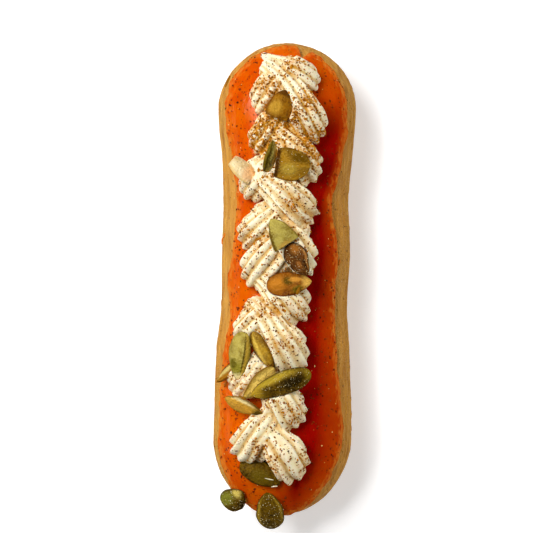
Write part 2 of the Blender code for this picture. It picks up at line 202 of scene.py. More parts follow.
# Each row is the node it stands for, length, width, thickness, the stretch of the whole seed that it keeps,
# its middle, its turn about Z, its pitch and roll in degrees, and its finish.
SEEDS = (
    ("seed_under_cream", 0.0132, 0.0074, 0.0024, (-1, 1), (-0.0072, -0.0560), -31, -4, 6, "dark_green"),
    ("seed_head", 0.0105, 0.0076, 0.0026, (-0.62, 1), (-0.0013, 0.0502), 72, -4, 16, "brown_olive"),
    ("seed_upright", 0.0094, 0.0066, 0.0024, (-1, 1), (-0.0043, 0.0352), 77, 4, 64, "sage"),
    ("seed_wide", 0.0160, 0.0098, 0.0028, (-1, 0.24), (0.0021, 0.0327), 172, 4, -16, "olive"),
    ("seed_pale_chip", 0.0120, 0.0066, 0.0026, (-0.75, 0.55), (-0.0125, 0.0316), 138, 6, 42, "pale"),
    ("seed_green", 0.0135, 0.0082, 0.0026, (-0.28, 1), (-0.0019, 0.0137), 123, 2, -10, "sage"),
    ("seed_amber", 0.0130, 0.0072, 0.0030, (-1, 1), (0.0010, -0.0012), 6, 2, -8, "amber"),
    ("seed_roasted", 0.0108, 0.0064, 0.0028, (-1, 1), (0.0034, 0.0058), -60, 14, 8, "roasted"),
    ("seed_sliver", 0.0090, 0.0050, 0.0020, (-1, 1), (-0.0166, -0.0268), -140, -6, 58, "brown_olive"),
    ("seed_left", 0.0140, 0.0072, 0.0027, (-1, 1), (-0.0133, -0.0220), -97, -3, 30, "sage"),
    ("seed_on_edge", 0.0126, 0.0066, 0.0027, (-1, 1), (-0.0066, -0.0206), -61, -6, 56, "gold"),
    ("seed_beneath", 0.0125, 0.0062, 0.0024, (-1, 1), (-0.0076, -0.0298), 226, -4, -34, "gold"),
    ("seed_long", 0.0186, 0.0074, 0.0032, (-1, 1), (-0.0015, -0.0299), 201, -3, -14, "dark_green"),
    ("seed_low_left", 0.0118, 0.0058, 0.0024, (-1, 1), (-0.0120, -0.0365), -23, -2, 48, "gold"),
    ("seed_foot_left", 0.0096, 0.0074, 0.0028, (-1, 1), (-0.0152, -0.0645), 42, 40, 4, "dark_green"),
    ("seed_foot", 0.0147, 0.0081, 0.0030, (-1, 0.93), (-0.0045, -0.0680), 99, 38, -6, "dark_green"),
)

# Seeds that aren't pressed into the cream.
LOOSE_SEEDS = {"seed_under_cream", "seed_sliver", "seed_foot_left", "seed_foot"}
# Seeds with a blunter tip than SEED_POINT gives, and finishes that have shrivelled more than the others.
BLUNT_TIPS = {"seed_foot": 0.66, "seed_foot_left": 0.68}
SHRIVELLED = {"roasted": 2.6, "amber": 1.9}

# Skin, shade and spot colours of the seeds' finishes.
SEED_COLOURS = {
    "dark_green": ((0.088, 0.042, 0.0005), (0.022, 0.008, 0.0003), (0.34, 0.19, 0.010)),
    "sage": ((0.42, 0.33, 0.060), (0.18, 0.115, 0.006), (0.58, 0.48, 0.14)),
    "olive": ((0.34, 0.155, 0.004), (0.14, 0.055, 0.001), (0.52, 0.32, 0.040)),
    "brown_olive": ((0.30, 0.110, 0.001), (0.13, 0.034, 0.0003), (0.48, 0.24, 0.020)),
    "gold": ((0.44, 0.23, 0.008), (0.15, 0.060, 0.001), (0.66, 0.44, 0.08)),
    "amber": ((0.25, 0.066, 0.001), (0.11, 0.020, 0.0003), (0.52, 0.22, 0.020)),
    "roasted": ((0.075, 0.017, 0.001), (0.020, 0.004, 0.0003), (0.28, 0.11, 0.018)),
    "pale": ((0.93, 0.74, 0.40), (0.74, 0.50, 0.18), (0.95, 0.84, 0.60)),
}

# Marks on each seed: the colour, the middle along the seed (1 at its tip) and across it, and the reach along
# and across. Some marks are painted highlights and painted shadow, noted where they stand.
SEED_MARKS = {
    "seed_under_cream": [((0.13, 0.080, 0.003), 0.1, -0.2, 0.5, 0.6)],
    "seed_head": [
        ((0.52, 0.27, 0.025), -0.1, 0.4, 0.4, 0.5),
        ((0.11, 0.035, 0.001), 0.85, 0.0, 0.25, 2.0),
    ],
    "seed_upright": [
        ((0.52, 0.42, 0.100), 0.3, -0.8, 1.0, 0.5),
        ((0.10, 0.065, 0.003), 0.0, 0.9, 1.5, 0.35),
    ],
    "seed_wide": [
        ((0.46, 0.29, 0.035), -0.25, 0.25, 0.30, 0.40),
        ((0.13, 0.060, 0.001), -0.55, -0.55, 0.35, 0.30),
        # Painted shadow along its broken end.
        ((0.07, 0.022, 0.001), 0.22, 0.0, 0.12, 3.0),
    ],
    "seed_pale_chip": [((0.86, 0.50, 0.230), -0.5, 0.0, 0.4, 1.0)],
    "seed_green": [
        ((0.42, 0.25, 0.040), -0.28, 0.1, 0.18, 0.6),
        ((0.11, 0.060, 0.003), 0.2, 0.95, 1.0, 0.22),
    ],
    "seed_amber": [
        ((0.50, 0.175, 0.012), -0.55, 0.1, 0.40, 0.60),
        ((0.10, 0.050, 0.001), 0.0, 0.2, 0.28, 0.35),
        ((0.16, 0.100, 0.006), 0.35, -0.65, 0.25, 0.35),
        ((0.60, 0.25, 0.030), 0.3, 0.3, 0.30, 0.25),
        ((0.72, 0.40, 0.070), 0.9, 0.0, 0.30, 2.0),
    ],
    "seed_roasted": [
        ((0.30, 0.105, 0.014), -0.55, 0.3, 0.35, 0.45),
        ((0.24, 0.080, 0.012), 0.35, -0.1, 0.22, 0.25),
        # Painted highlight along one edge.
        ((0.34, 0.140, 0.030), 0.2, 0.85, 0.70, 0.14),
    ],
    "seed_sliver": [
        ((0.60, 0.46, 0.140), 0.1, 0.0, 0.7, 0.4),
        ((0.09, 0.040, 0.002), 0.1, -0.9, 1.0, 0.25),
    ],
    "seed_left": [
        ((0.25, 0.21, 0.018), 0.55, 0.0, 0.36, 1.00),
        ((0.13, 0.100, 0.006), 0.35, -0.4, 0.22, 0.45),
        ((0.36, 0.22, 0.020), 0.0, 0.80, 1.2, 0.16),
        ((0.09, 0.055, 0.002), 0.0, 0.62, 1.0, 0.07),
        ((0.70, 0.60, 0.280), 0.95, 0.0, 0.22, 3.0),
    ],
    "seed_on_edge": [
        # Painted highlight along its middle.
        ((0.72, 0.48, 0.070), -0.1, 0.0, 0.8, 0.3),
        ((0.15, 0.050, 0.002), 0.95, 0.0, 0.35, 2.0),
        ((0.09, 0.040, 0.001), 0.0, -0.85, 1.2, 0.22),
    ],
    "seed_beneath": [((0.90, 0.62, 0.130), -0.1, 0.1, 1.3, 0.9)],
    "seed_long": [
        # Painted highlight along one raised edge.
        ((0.42, 0.28, 0.020), 0.3, -0.80, 0.9, 0.40),
        ((0.40, 0.24, 0.015), 0.9, 0.0, 0.3, 1.5),
        ((0.018, 0.009, 0.0004), -0.38, 0.10, 0.45, 0.50),
        ((0.20, 0.130, 0.006), -0.95, 0.0, 0.15, 1.5),
    ],
    "seed_low_left": [
        ((0.66, 0.34, 0.035), -0.4, 0.2, 0.9, 0.9),
        ((0.07, 0.042, 0.002), 0.8, 0.0, 0.30, 1.0),
        # Painted highlight along its upper edge.
        ((0.95, 0.78, 0.360), -0.1, 0.85, 0.6, 0.20),
    ],
    "seed_foot_left": [
        ((0.20, 0.190, 0.018), -0.3, 0.5, 0.8, 0.6),
        ((0.58, 0.44, 0.090), 0.70, 0.4, 0.22, 0.7),
        ((0.025, 0.012, 0.001), 0.35, -0.8, 0.30, 0.35),
    ],
    "seed_foot": [
        # Painted highlights along both its raised edges.
        ((0.36, 0.22, 0.015), 0.0, 0.92, 0.9, 0.22),
        ((0.30, 0.18, 0.012), 0.2, -0.92, 0.9, 0.20),
    ],
}

# Small drops and bits, each by its place in plan, length, width, thickness and turn in degrees.
GLAZE_DRIPS = (
    (-0.0184, 0.0113, 0.0021, 0.0014, 0.0009, 70),
    (-0.0179, 0.0128, 0.0018, 0.0007, 0.0004, 62),
    (0.0158, 0.0050, 0.0024, 0.0008, 0.0004, 80),
    (0.0152, 0.0068, 0.0014, 0.0006, 0.0003, 110),
)
CREAM_SMEARS = (
    (-0.0032, -0.0600, 0.0019, 0.0006, 0.0004, -8),
    (-0.0046, -0.0578, 0.0026, 0.0004, 0.0003, -14),
    (-0.0141, -0.0334, 0.0030, 0.0009, 0.0007, -40),
)
SEED_BITS = (
    (-0.0169, 0.0582, 0.0036, 0.0010, 0.0008, 68),
    (-0.0123, -0.0340, 0.0026, 0.0009, 0.0008, -30),
    (0.0036, -0.0032, 0.0026, 0.0011, 0.0012, 75),
)
DROP_POINTS_AROUND = 24
DROP_RINGS = 12
DROP_UNEVENNESS = 0.35

# Grains of spice and salt, each a chip with these corners and faces.
CHIP_POINTS = ((1, 0, 0), (0, 1, 0), (-1, 0, 0), (0, -1, 0), (0, 0, 1), (0, 0, -1))
CHIP_FACES = ((0, 1, 4), (1, 2, 4), (2, 3, 4), (3, 0, 4), (1, 0, 5), (2, 1, 5), (3, 2, 5), (0, 3, 5))
CHIP_WIDTH = 0.75
CHIP_TILT = 0.5
CHIP_JITTER = (0.6, 1.25)
CHIP_LIFT = 0.25
TRIES_PER_CHIP = 12
ABOVE_ALL = 0.2
CINNAMON_PATCH = 0.005
CINNAMON_PLACE = 0.044

# Camera and light
PHOTO_PIXELS = 533
METRES_PER_PIXEL = 0.2962 * MM
ECLAIR_IN_PHOTO = (285.0, 279.05)
CAMERA_DISTANCE = 0.70
FOCUS_HEIGHT = 0.013
SENSOR = 36.0
FLOOR_REACH = 2
LIGHT_TARGET = (0, 0, 0.02)
# Each light's name, direction in plan in degrees anticlockwise from +X, height in degrees, distance, width,
# height, power in watts, and whether it shows in reflections.
LIGHTS = (
    ("key", 138, 57, 0.9, 0.40, 0.40, 7.4, True),
    ("window", 165, 63, 0.9, 0.24, 0.10, 1.7, True),
    ("head_strip", 93, 15, 0.6, 0.10, 0.06, 0.35, True),
    ("left_strip", 180, 12, 0.6, 0.50, 0.025, 0.45, True),
    ("right_card", -8, 16, 0.6, 0.30, 0.5, 1.7, False),
)

# Noise: the step from one random seed's pattern to the next, and the numbers that scramble its cells.
NOISE_STEP = 13.7
HASH_FACTORS = np.array((374761393, 668265263, 1442695041))
HASH_MIX = 1274126177
LOW_BITS = 0xFFFFFFFF


def noise(points, size, seed=0):
    """Smooth noise from -1 to 1 at an array of points, with features of about the given size."""
    places = points / size + NOISE_STEP * seed
    cells = np.floor(places).astype(np.int64)
    t = places - cells
    t = t * t * (3 - 2 * t)
    total = np.zeros(len(points))
    for corner in product((0, 1), repeat=3):
        code = ((cells + np.array(corner)) @ HASH_FACTORS) & LOW_BITS
        code = ((code ^ (code >> 13)) * HASH_MIX) & LOW_BITS
        value = ((code ^ (code >> 16)) & 0xFFFF) / 32767.5 - 1
        total += value * np.prod(np.where(corner, t, 1 - t), axis=1)
    return total


def noise_relief(points, *layers):
    """Noise in metres. Each layer is its height and feature size in millimetres, and its seed."""
    return MM * sum(height * noise(points, size * MM, seed) for height, size, seed in layers)


def bell(values, middle, reach):
    """1 at the middle, falling smoothly to near 0 at twice the reach."""
    return np.exp(-(((values - middle) / reach) ** 2))


def at_floor(plan):
    """Points of a plan as points in space, at height 0."""
    return np.column_stack([plan, np.zeros(len(plan))])


def circle(count):
    """Equal steps of a full turn, in radians."""
    return 2 * np.pi * np.arange(count) / count


def smooth_through(stations, column, place):
    """The values of one column at an array of places, on a smooth curve through the stations."""
    places = np.array([row[0] for row in stations])
    values = np.array([row[column] for row in stations])
    slopes = np.gradient(values, places)
    place = np.clip(place, places[0], places[-1])
    i = np.clip(np.searchsorted(places, place) - 1, 0, len(places) - 2)
    span = places[i + 1] - places[i]
    t = (place - places[i]) / span
    rise = (1 - t) ** 2 * ((1 + 2 * t) * values[i] + t * span * slopes[i])
    return rise + t * t * ((3 - 2 * t) * values[i + 1] - (1 - t) * span * slopes[i + 1])


def end_rounding(y, head_round, foot_round, head_inset=0.0, foot_inset=0.0):
    """1 along the eclair's middle, falling to 0 on an elliptic curve at each end."""
    head = (y - (LENGTH / 2 - head_inset - head_round)) / head_round
    foot = (-y - (LENGTH / 2 - foot_inset - foot_round)) / foot_round
    over = np.clip(np.maximum(head, foot), 0, 1)
    return np.sqrt(1 - over * over)


def shell_middle(y):
    return smooth_through(SHELL_PLAN, 1, y)


def shell_half_width(y):
    return smooth_through(SHELL_PLAN, 2, y) * end_rounding(y, HEAD_ROUNDING, FOOT_ROUNDING)


def crown_rise(y):
    return CROWN_RISE * end_rounding(y, CROWN_ROUNDING, CROWN_ROUNDING)


def crown_height(x, y):
    """Height of the shell's top over points of the plan."""
    across = np.clip(np.abs(x - shell_middle(y)) / np.maximum(shell_half_width(y), 1e-6), 0, 1)
    return BELLY_HEIGHT + crown_rise(y) * (1 - across**CROWN_FULLNESS) ** (1 / CROWN_FULLNESS)


def crown_normal(x, y):
    """Direction square to the shell's top over points of the plan."""
    step = 0.2 * MM
    slope_x = (crown_height(x + step, y) - crown_height(x - step, y)) / (2 * step)
    slope_y = (crown_height(x, y + step) - crown_height(x, y - step)) / (2 * step)
    normal = np.stack([-slope_x, -slope_y, np.ones_like(slope_x)], axis=-1)
    return normal / np.linalg.norm(normal, axis=-1, keepdims=True)


def glaze_top(x, y):
    return crown_height(x, y) + (TOUCHING_GAP + GLAZE_THICKNESS) / crown_normal(x, y)[..., 2]


def new_object(name, points, faces, smooth=True, merge=False):
    """An object in the scene with a mesh of these points and faces."""
    mesh = bpy.data.meshes.new(name)
    mesh.from_pydata(np.asarray(points).tolist(), [], faces)
    mesh.validate()
    shape = bmesh.new()
    shape.from_mesh(mesh)
    if merge:
        bmesh.ops.remove_doubles(shape, verts=shape.verts, dist=1e-7)
    bmesh.ops.recalc_face_normals(shape, faces=shape.faces)
    shape.to_mesh(mesh)
    shape.free()
    mesh.polygons.foreach_set("use_smooth", [smooth] * len(mesh.polygons))
    thing = bpy.data.objects.new(name, mesh)
    bpy.context.scene.collection.objects.link(thing)
    return thing


def vertex_values(thing, kind):
    """Three numbers for each vertex: its place where kind is co, or its normal."""
    values = np.empty(3 * len(thing.data.vertices))
    thing.data.vertices.foreach_get(kind, values)
    return values.reshape(-1, 3)


def mesh_points(thing):
    return vertex_values(thing, "co")


def mesh_normals(thing):
    return vertex_values(thing, "normal")


def set_points(thing, points):
    thing.data.vertices.foreach_set("co", np.ascontiguousarray(points).ravel())
    thing.data.update()


def store(thing, name, values):
    """Keeps one number for each vertex under a name that a material can read."""
    layer = thing.data.attributes.new(name, "FLOAT", "POINT")
    layer.data.foreach_set("value", np.ascontiguousarray(values, dtype=np.float32))


def tube_faces(rings, count, first=0):
    """Side faces of a tube through equal rings of count points."""
    faces = []
    for ring in range(rings - 1):
        start = first + ring * count
        for k in range(count):
            n = (k + 1) % count
            faces.append((start + k, start + n, start + count + n, start + count + k))
    return faces


def fan_faces(first, count, pole):
    return [(first + k, first + (k + 1) % count, pole) for k in range(count)]


def closed_tube_faces(rings, count, first=0):
    """Faces of a tube whose ends close on two poles, which follow its rings in the list of points."""
    last, pole = first + (rings - 1) * count, first + rings * count
    return tube_faces(rings, count, first) + fan_faces(first, count, pole) + fan_faces(last, count, pole + 1)


def power_of(value, fullness):
    return np.copysign(np.abs(value) ** (2 / fullness), value)


def shell_ring(y):
    """One slice of the shell: a full crown over a flat base, with shallow flutes on its flanks."""
    turns = circle(SHELL_POINTS_AROUND)
    side, up = np.cos(turns), np.sin(turns)
    crown = up >= 0
    fullness = np.where(crown, CROWN_FULLNESS, FOOT_FULLNESS)
    depth = BELLY_DEPTH * end_rounding(y, BASE_ROUNDING, BASE_ROUNDING)
    x = shell_half_width(y) * power_of(side, fullness)
    rise = np.where(crown, crown_rise(y), depth) * power_of(up, fullness)
    flank = np.clip(1 - np.abs(up) / FLANK_REACH, 0, 1) * end_rounding(y, HEAD_ROUNDING, FOOT_ROUNDING)
    flute = FLUTE_DEPTH * flank * (np.cos(FLUTES_PER_TURN * turns) - 1)
    ring = [shell_middle(y) + x + flute * side, np.full_like(x, y), BELLY_HEIGHT + rise + flute * up]
    return np.stack(ring, axis=1)


def make_choux():
    """The baked shell, streaked along its length, lumpy and blistered."""
    stations = [-LENGTH / 2 * math.cos(math.pi * i / SHELL_STATIONS) for i in range(1, SHELL_STATIONS)]
    poles = [[float(shell_middle(y)), y, BELLY_HEIGHT] for y in (-LENGTH / 2, LENGTH / 2)]
    points = np.concatenate([*map(shell_ring, stations), poles])
    choux = new_object("choux", points, closed_tube_faces(len(stations), SHELL_POINTS_AROUND))
    points = mesh_points(choux)
    relief = STREAK_HEIGHT * noise(points * (1, STREAK_STRETCH, 1), 1.3 * MM, 1)
    relief += LUMP_HEIGHT * noise(points, 11 * MM, 2)
    relief += BLISTER_HEIGHT * np.clip(noise(points, 2.2 * MM, 3) - 0.35, 0, 1)
    relief += GRAIN_HEIGHT * noise(points, 0.7 * MM, 4)
    points += mesh_normals(choux) * (relief - RELIEF_SINK)[:, None]
    points[:, 2] = np.maximum(points[:, 2], 0)
    set_points(choux, points)
    return choux


def glaze_edge(y, side):
    """Sideways place of the glaze's edge: side is -1 on the left and 1 on the right."""
    inset = np.where(side < 0, smooth_through(GLAZE_INSETS, 1, y), smooth_through(GLAZE_INSETS, 2, y))
    width = smooth_through(SHELL_PLAN, 2, y) - inset
    ends = (HEAD_ROUNDING - GLAZE_HEAD_INSET, FOOT_ROUNDING - GLAZE_FOOT_INSET)
    return shell_middle(y) + side * width * end_rounding(y, *ends, GLAZE_HEAD_INSET, GLAZE_FOOT_INSET)


def glaze_plan():
    """Points round the glaze's wavy edge, and the point of the spine that faces each."""
    head, foot = LENGTH / 2 - GLAZE_HEAD_INSET, GLAZE_FOOT_INSET - LENGTH / 2
    steps = np.arange(GLAZE_POINTS_AROUND)
    y = (head + foot) / 2 - (head - foot) / 2 * np.cos(2 * np.pi * steps / GLAZE_POINTS_AROUND)
    side = np.where(steps <= GLAZE_POINTS_AROUND // 2, 1, -1)
    spine_y = np.clip(y, FOOT_ROUNDING - LENGTH / 2, LENGTH / 2 - HEAD_ROUNDING)
    edge = np.stack([glaze_edge(y, side), y], axis=1)
    spine = np.stack([shell_middle(spine_y), spine_y], axis=1)
    inward = spine - edge
    inward /= np.maximum(np.linalg.norm(inward, axis=1, keepdims=True), 1e-9)
    wave = noise_relief(at_floor(edge), (0.42, 5, 5), (0.26, 1.8, 6), (0.10, 0.8, 9))
    for x, y, half_width, depth in GLAZE_NOTCHES:
        wave += depth * bell(np.linalg.norm(edge - (x, y), axis=1), 0, half_width)
    return edge + inward * wave[:, None], spine


def glaze_layer(shares, offset):
    """Rings over the crown from the spine to the edge, each lifted by offset of its distance inside."""
    edge, spine = glaze_plan()
    reach = np.linalg.norm(edge - spine, axis=1)
    rings = []
    for share in shares:
        plan = spine + share * (edge - spine)
        x, y = plan[:, 0], plan[:, 1]
        lift = offset((1 - share) * reach, plan)
        base = np.stack([x, y, crown_height(x, y)], axis=1)
        rings.append(base + crown_normal(x, y) * lift[:, None])
    return rings


def glaze_surface(inside, plan):
    """Distance of the glaze's top from the crown: feathered at the rim, with a low bead and ripples."""
    rim = np.sqrt(np.clip(1 - (1 - np.clip(inside / GLAZE_RIM_WIDTH, 0, 1)) ** 2, 0, 1))
    lip = np.clip(inside / GLAZE_LIP_WIDTH, 0, 1)
    flat = at_floor(plan)
    ripple = 0.10 * noise(flat, 9 * MM, 7) + 0.05 * noise(flat, 3.5 * MM, 8)
    share = GLAZE_LIP_SHARE * lip + (1 - GLAZE_LIP_SHARE) * rim * (1 + ripple)
    return TOUCHING_GAP + GLAZE_THICKNESS * share


def make_glaze():
    """The glossy skin over the crown, with a wavy edge."""
    top_shares = 1 - (1 - np.linspace(0, 1, GLAZE_TOP_RINGS)) ** 2
    under_shares = np.linspace(0, 1, GLAZE_UNDER_RINGS)
    top = glaze_layer(top_shares, glaze_surface)
    under = glaze_layer(under_shares, lambda inside, plan: np.full_like(inside, TOUCHING_GAP))
    rings = under + top[::-1]
    faces = tube_faces(len(rings), GLAZE_POINTS_AROUND)
    icing = new_object("icing", np.concatenate(rings), faces, merge=True)
    points = mesh_points(icing)
    # Redder, darker glaze right of the cream: partly thicker glaze, partly painted shade.
    store(icing, "deep_and_shaded", glaze_depth_and_shade(points))
    store(icing, "inside", distance_inside(points))
    return icing


def distance_inside(points):
    """Distance in millimetres, seen from above, from each point to the glaze's edge."""
    edge, _ = glaze_plan()
    tree = KDTree(len(edge))
    for i, (x, y) in enumerate(edge):
        tree.insert((x, y, 0), i)
    tree.balance()
    return [tree.find((x, y, 0))[2] / MM for x, y in points[:, :2]]


def glaze_depth_and_shade(points):
    """From 0 where the glaze is thin, left of the cream and at its rim, to 1 right of the cream, where the
    glaze pools thicker and painted shade stands for the cream's shadow and the crown turning from the light.
    """
    x, y = points[:, 0], points[:, 1]
    pooled_and_shaded = np.clip((x - SHADED_POOL_START) / SHADED_POOL_WIDTH + 0.25 * noise(points, SHADED_POOL_WIDTH, 61), 0, 1)
    slope = np.interp(y, *np.transpose(GLAZE_SLOPES))
    rim = np.clip((glaze_edge(y, np.ones(len(y))) - x) / slope, 0, 1)
    head = np.clip((SHADED_POOL_HEAD - y) / SHADED_POOL_HEAD_FADE, 0, 1)
    return pooled_and_shaded * (0.35 + 0.65 * rim) * head


def star(radius, depth, sharpness, own):
    """Distance from the rope's middle all round: uneven crests, hollows between them and fine lines."""
    turns = circle(RIDGES * POINTS_PER_RIDGE)
    # The first ridge's height picks the lobe's own pattern of lines.
    pattern = np.full(len(turns), own[0] * 90)
    around_rope = np.stack([np.cos(turns), np.sin(turns), pattern], axis=1)
    lines = FINE_LINES * noise(around_rope, FINE_LINE_WIDTH, 29)
    soft = 1 - np.abs(np.cos(RIDGES * turns / 2)) ** 0.8
    sharp = np.abs(np.sin(RIDGES * turns / 2))
    hollow = soft + sharpness * (sharp - soft)
    place = turns * RIDGES / (2 * np.pi)
    ridge = np.round(place).astype(int) % RIDGES
    groove = np.floor(place).astype(int) % RIDGES
    depths = depth * np.clip(GROOVE_SHARE + GROOVE_UNEVENNESS * own[groove], *GROOVE_LIMITS)
    return turns, radius * (1 - depths * hollow) * (1 + own[ridge] * (1 - hollow) + lines)


def lobe_rings(number, row, taper, curve):
    """Rings of one piped lobe: up from the glaze, over an elbow and along under the next lobe."""
    x, y, radius, heading, leg, bend, depth, sharpness = row
    own = RIDGE_UNEVENNESS * noise(np.column_stack([np.arange(RIDGES)] * 3) + 7.3 * number, 1, 17)
    up = np.array([0.0, 0.0, 1.0])

    def direction(degrees):
        return np.array([math.cos(math.radians(degrees)), math.sin(math.radians(degrees)), 0])

    def ring(middle, outward, along, size, share=0.0):
        turns, reach = star(size, depth * (1 - GROOVE_FADE * share**GROOVE_FADE_CURVE), sharpness, own)
        spoke = np.cos(turns)[:, None] * outward + np.sin(turns)[:, None] * np.cross(up, along)
        return middle + reach[:, None] * spoke

    along = direction(heading)
    foot = np.array([x, y, float(glaze_top(np.array(x), np.array(y)))])
    rings = [ring(foot - CREAM_ROOT_DEPTH * up, -along, along, CREAM_ROOT_SIZE * radius)]
    for i in range(ELBOW_STEPS + 1):
        turn = math.pi / 2 * i / ELBOW_STEPS
        middle = foot + radius * ((1 - math.cos(turn)) * along + math.sin(turn) * up)
        size = radius * (1 + HEAD_SWELL * math.sin(2 * turn))
        rings.append(ring(middle, math.sin(turn) * up - math.cos(turn) * along, along, size))
    middle = foot + radius * (along + up)
    for i in range(1, LEG_STEPS + 1):
        share = i / LEG_STEPS
        along = direction(heading + bend * share)
        middle = middle + leg / LEG_STEPS * along - LEG_DROP * (2 * i - 1) / LEG_STEPS**2 * up
        outward = up + 2 * LEG_DROP * share / leg * along
        outward /= np.linalg.norm(outward)
        rings.append(ring(middle, outward, along, radius * (1 - taper * share**curve), share))
    for placed in rings[1:]:
        placed[:, 2] = foot[2] + SQUASH * (placed[:, 2] - foot[2])
    return rings


def lobes_mesh():
    """All the lobes as closed shells in one mesh, pushed about a little so that no two are alike."""
    points, faces, count = [], [], 0
    for number, row in enumerate(CREAM_LOBES):
        last = number == len(CREAM_LOBES) - 1
        rings = lobe_rings(number, row, *((TIP_TAPER, TIP_CURVE) if last else (LEG_TAPER, LEG_CURVE)))
        faces += closed_tube_faces(len(rings), RIDGES * POINTS_PER_RIDGE, count)
        points += [*rings, np.stack([rings[0].mean(axis=0), rings[-1].mean(axis=0)])]
        count = sum(map(len, points))
    points = np.concatenate(points)
    for axis in range(3):
        points[:, axis] += noise_relief(points, (0.55, 7, 71 + axis), (0.16, 3, 74 + axis))
    return new_object("cream", points, faces)


def apply_modifiers(thing):
    graph = bpy.context.evaluated_depsgraph_get()
    mesh = bpy.data.meshes.new_from_object(thing.evaluated_get(graph))
    thing.modifiers.clear()
    thing.data = mesh


def press(cream, trees):
    """Lowers the cream to the underside of each seed that is pressed into it."""
    points = mesh_points(cream)
    for tree, low, high in trees:
        inside = np.all((points[:, :2] > low[:2] - MM) & (points[:, :2] < high[:2] + MM), axis=1)
        for i in np.nonzero(inside & (points[:, 2] > low[2] - MM))[0]:
            x, y, z = points[i]
            hit = tree.ray_cast(Vector((x, y, low[2] - MM)), Vector((0, 0, 1)))[0]
            if hit is not None and hit.z < z:
                points[i, 2] = hit.z - PRESS_GAP
    set_points(cream, points)


def neighbour_mean(thing, values):
    """Each vertex's values averaged with its neighbours'."""
    edges = np.empty(2 * len(thing.data.edges), dtype=np.int64)
    thing.data.edges.foreach_get("vertices", edges)
    a, b = edges.reshape(-1, 2).T
    total, count = values.copy(), np.ones(len(values))
    np.add.at(total, a, values[b])
    np.add.at(total, b, values[a])
    np.add.at(count, a, 1)
    np.add.at(count, b, 1)
    return total / count.reshape((-1,) + (1,) * (values.ndim - 1))


def make_cream(trees):
    """The piped cream: its lobes joined, roughened, resting on the glaze and pressed in by the seeds."""
    cream = lobes_mesh()
    remesh = cream.modifiers.new("remesh", "REMESH")
    remesh.mode = "VOXEL"
    remesh.voxel_size = CREAM_VOXEL
    apply_modifiers(cream)
    points = mesh_points(cream)
    points += mesh_normals(cream) * noise_relief(points, (0.20, 5, 11), (0.05, 1.6, 12))[:, None]
    floor = glaze_top(points[:, 0], points[:, 1]) - CREAM_SETTLE
    points[:, 2] = np.maximum(points[:, 2], floor)
    set_points(cream, points)
    press(cream, trees)
    points = smooth = mesh_points(cream)
    for _ in range(HOLLOW_ROUNDS):
        smooth = neighbour_mean(cream, smooth)
    depth = np.einsum("ij,ij->i", smooth - points, mesh_normals(cream)) / MM
    # How far each point lies below its smoothed neighbours, which the cream's material uses to paint shade
    # into its hollows.
    store(cream, "hollow", np.clip(0.5 + depth, 0, 1))
    store(cream, "dust", cream_dust(points))
    cream.data.polygons.foreach_set("use_smooth", [True] * len(cream.data.polygons))
    return cream


def cream_dust(points):
    """How thick the cinnamon lies: patches along the cream, heaviest near its head end."""
    y = points[:, 1]
    lengthways = np.interp(y, (-0.045, -0.020), (0.34, 0.46)) + 0.80 * bell(y, CINNAMON_PLACE, 0.010)
    patchy = np.clip(0.6 + 1.3 * noise(points * (1, 1, 0), CINNAMON_PATCH, 31), 0, 1.6)
    return np.clip(lengthways * patchy, 0, 1.2)


def seed_rings(length, width, thickness, stretch, point):
    """Points of a seed's rings, with its place along, across and through for each."""
    first, last = stretch
    turns = circle(SEED_POINTS_AROUND)
    side, up = np.cos(turns), np.sin(turns)
    widest = (SEED_BLUNTNESS - point) / (SEED_BLUNTNESS + point)
    fullest = (1 + widest) ** SEED_BLUNTNESS * (1 - widest) ** point
    rings, places = [], []
    for i in range(SEED_STATIONS):
        place = (first + last) / 2 - (last - first) / 2 * math.cos(math.pi * (i + 0.5) / SEED_STATIONS)
        share = (1 + place) ** SEED_BLUNTNESS * (1 - place) ** point / fullest
        rise = math.sqrt(1 - place * place)
        z = thickness / 2 * rise * np.copysign(np.abs(up) ** SEED_EDGE, up) - SEED_CUP * place * place
        rings.append(np.stack([np.full_like(side, length / 2 * place), width / 2 * share * side, z], axis=1))
        places.append(np.stack([np.full_like(side, place), side, up], axis=1))
    return rings, places


def seed_turn(turn, pitch, roll):
    """Rolls about the seed's length, lifts its tip by pitch and turns it in plan."""
    lift = Matrix.Rotation(math.radians(-pitch), 4, "Y")
    return Matrix.Rotation(math.radians(turn), 4, "Z") @ lift @ Matrix.Rotation(math.radians(roll), 4, "X")


def seed_mesh(node, length, width, thickness, stretch):
    """A whole or broken seed lying along X, with its place along, across and through at each point."""
    rings, places = seed_rings(length, width, thickness, stretch, BLUNT_TIPS.get(node, SEED_POINT))
    ends = [rings[0].mean(axis=0), rings[-1].mean(axis=0)]
    for i, pole in enumerate((-1, 1)):
        if stretch[i] == pole:
            ends[i] = np.array([pole * length / 2, 0, -SEED_CUP])
    place = np.concatenate([*places, [[stretch[0], 0, 0], [stretch[1], 0, 0]]])
    return np.concatenate([*rings, ends]), place


def seed_relief(points, place, number, finish):
    """Gives a seed its wrinkles, dents, raised margin and uneven outline."""
    wrinkles = noise(place * (2.2, 5, 2), 1, 20 + number)
    dents = noise(place * (1.2, 1.5, 1), 1, 50 + number)
    sway = noise(place * (2.5, 0.7, 0), 1, 80 + number)
    outline = np.abs(place[:, 1])
    margin = bell(outline, 0.90, 0.07) - bell(outline, 0.72, 0.09)
    shrivel = SHRIVELLED.get(finish, 1.0)
    points[:, 2] += (WRINKLE_HEIGHT * shrivel * wrinkles + DENT_HEIGHT * dents) * (1 - outline**4)
    points[:, 2] += MARGIN_HEIGHT * margin * np.sign(place[:, 2]) * np.sqrt(1 - place[:, 0] ** 2)
    points[:, 1] += SEED_SWAY * sway * np.sign(place[:, 1]) * outline


